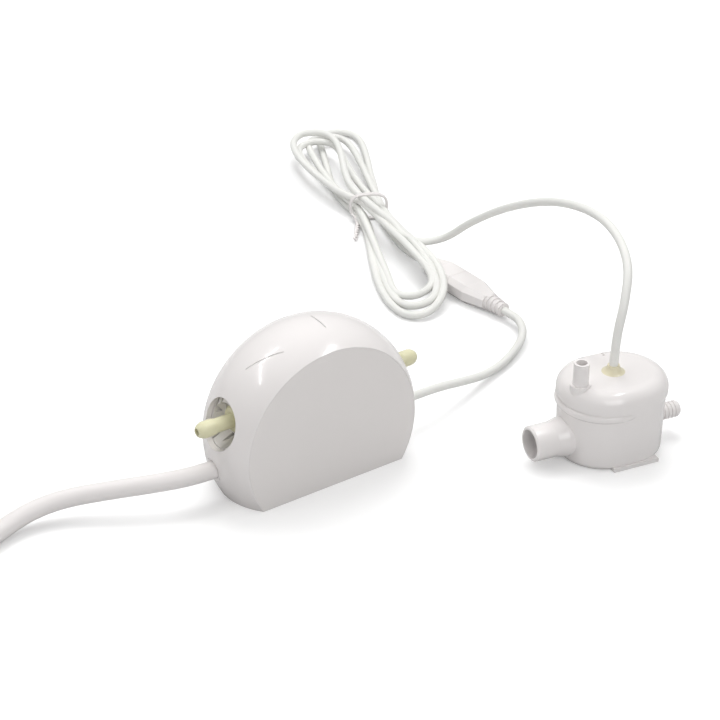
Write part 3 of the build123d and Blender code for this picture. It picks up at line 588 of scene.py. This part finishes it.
def core_finish():
    """Three cores round the lead's middle: brown, blue, and green with yellow, by their place."""
    finish = Finish("mains cores", Roughness=0.4)
    place = finish.node("ShaderNodeSeparateXYZ", Vector=finish.place)
    x, y, z = (Value(finish, socket) for socket in place.socket.node.outputs)
    side = (y - core_middle.y) * core_run.x - (x - core_middle.x) * core_run.y
    skin = finish.noise(900.0)
    stripe = finish.noise(260.0).above(0.5)
    earth = finish.mix(stripe, (0.10, 0.36, 0.10, 1), (0.80, 0.72, 0.10, 1))
    lower = finish.mix(side.above(0.0), earth, (0.05, 0.16, 0.55, 1))
    upper = finish.mix(skin, (0.16, 0.07, 0.03, 1), (0.24, 0.11, 0.05, 1))
    finish.set(Base_Color=finish.mix(z.above(top_core_height), lower, upper))
    finish.bump(skin, 0.00001)
    return finish.material


finishes["board_green"] = board_finish()
finishes["core_colours"] = core_finish()
print("finishes:", len(finishes))

# %% [markdown]
# ### Hand out the finishes
#
# The record names a finish for every CAD node, so one loop gives them all out.  The pieces
# that were made above follow, and the shell gets the finish with the engraved lines.

# %% Give every piece its finish
for subpart in frame["record"]["subparts"]:
    node = nodes[subpart["node"]]
    node.data.materials.clear()
    node.data.materials.append(finishes[subpart["material_slot"]])
for coil in springs:
    coil.data.materials.append(finishes["steel"])
for piece in (mains_lead, tie):
    piece.data.materials.append(finishes["mains_white"])
for lead in (pump_lead, sensor_lead):
    lead.data.materials.append(finishes["lead_white"])
nodes["cover_shell"].data.materials[0] = finishes["casing"]

# %% [markdown]
# ## Stage
#
# A plain floor that looks white to the camera, with a pale grey surround beyond its edge.
# A floor as bright as it looks would light the object from below, so to every other ray it
# is a mid grey and the undersides shade off as they do on a studio table.

# %% Make the floor
floor_mesh = bpy.data.meshes.new("floor")
bm = bmesh.new()
bmesh.ops.create_grid(bm, x_segments=1, y_segments=1, size=3.0)
bm.to_mesh(floor_mesh)
bm.free()
floor = bpy.data.objects.new("floor", floor_mesh)
bpy.context.scene.collection.objects.link(floor)
paper = Finish("paper", Roughness=0.9)
paper.set(Base_Color=(0.86, 0.86, 0.86, 1))
glow = paper.node("ShaderNodeEmission", Strength=0.20)
bright_paper = paper.node("ShaderNodeAddShader", sockets={0: Value(paper, paper.shader.outputs[0]), 1: glow})
grey_paper = paper.node("ShaderNodeBsdfDiffuse", Color=(0.60, 0.60, 0.60, 1))
to_camera = paper.node("ShaderNodeLightPath", out="Is Camera Ray")
seen_paper = paper.node("ShaderNodeMixShader", sockets={0: to_camera, 1: grey_paper, 2: bright_paper})
paper.feed(paper.node_tree.nodes["Material Output"].inputs["Surface"], seen_paper)
floor.data.materials.append(paper.material)
print("floor ready")

# %% [markdown]
# ### Light
#
# The key stands high behind the object, so its front lies in soft shade, and a broad fill
# in front lifts it.  A gloss as smooth as the casing's would show the key as a large white
# patch, so the key isn't reflected.  Three narrow strips are, and leave the thin bright
# streaks of a glossy moulding.

# %% Set up the light
def lamp(name, place, target, size, power, long_side=(0, 0, 1), reflected=True):
    """Rectangular lamp at a place, aimed at a target, with its second side along long_side."""
    data = bpy.data.lights.new(name, "AREA")
    data.shape = "RECTANGLE"
    data.size, data.size_y = size
    data.energy = power
    light = bpy.data.objects.new(name, data)
    back = (Vector(place) - Vector(target)).normalized()
    side = Vector(long_side).cross(back).normalized()
    light.matrix_world = (Matrix.Translation(place)
                          @ Matrix((side, back.cross(side), back)).transposed().to_4x4())
    light.visible_glossy = reflected
    bpy.context.scene.collection.objects.link(light)


lamp("key", (0.45, 0.65, 1.30), (0.0, 0.05, 0.0), (1.0, 1.0), 14.2, reflected=False)
lamp("fill", (-0.2, -1.2, 0.8), (0.0, 0.0, 0.03), (1.0, 0.8), 6)
lamp("left fill", (-1.1, 0.25, 0.8), (-0.05, 0.0, 0.03), (0.6, 0.6), 1.4, reflected=False)
lamp("left strip", (-0.494, 0.195, 0.676), (-0.030, -0.009, 0.060), (0.035, 0.34), 0.60,
     long_side=(-0.077, -0.118, -0.021))
lamp("upper strip", (-0.248, 0.385, 0.724), (-0.024, -0.005, 0.065), (0.035, 0.30), 0.60,
     long_side=(-0.125, -0.004, -0.042))
lamp("crown strip", (0.362, -0.155, 0.762), (-0.001, -0.017, 0.067), (0.06, 0.26), 0.80,
     long_side=(-0.117, -0.103, 0.037))
world = bpy.data.worlds.new("surround")
bpy.context.scene.world = world
world.use_nodes = True
surround = Tree(world.node_tree)
background = world.node_tree.nodes["Background"]
surround.feed(background.inputs["Color"], (1, 1, 1, 1))
surround.feed(background.inputs["Strength"], 0.36)
pale = surround.node("ShaderNodeBackground", Color=(0.8, 0.8, 0.8, 1), Strength=1.0)
to_camera = surround.node("ShaderNodeLightPath", out="Is Camera Ray")
seen_surround = surround.node("ShaderNodeMixShader", sockets={
    0: to_camera, 1: Value(surround, background.outputs[0]), 2: pale})
surround.feed(world.node_tree.nodes["World Output"].inputs["Surface"], seen_surround)
bpy.context.scene.view_settings.view_transform = "Standard"
print("light ready")
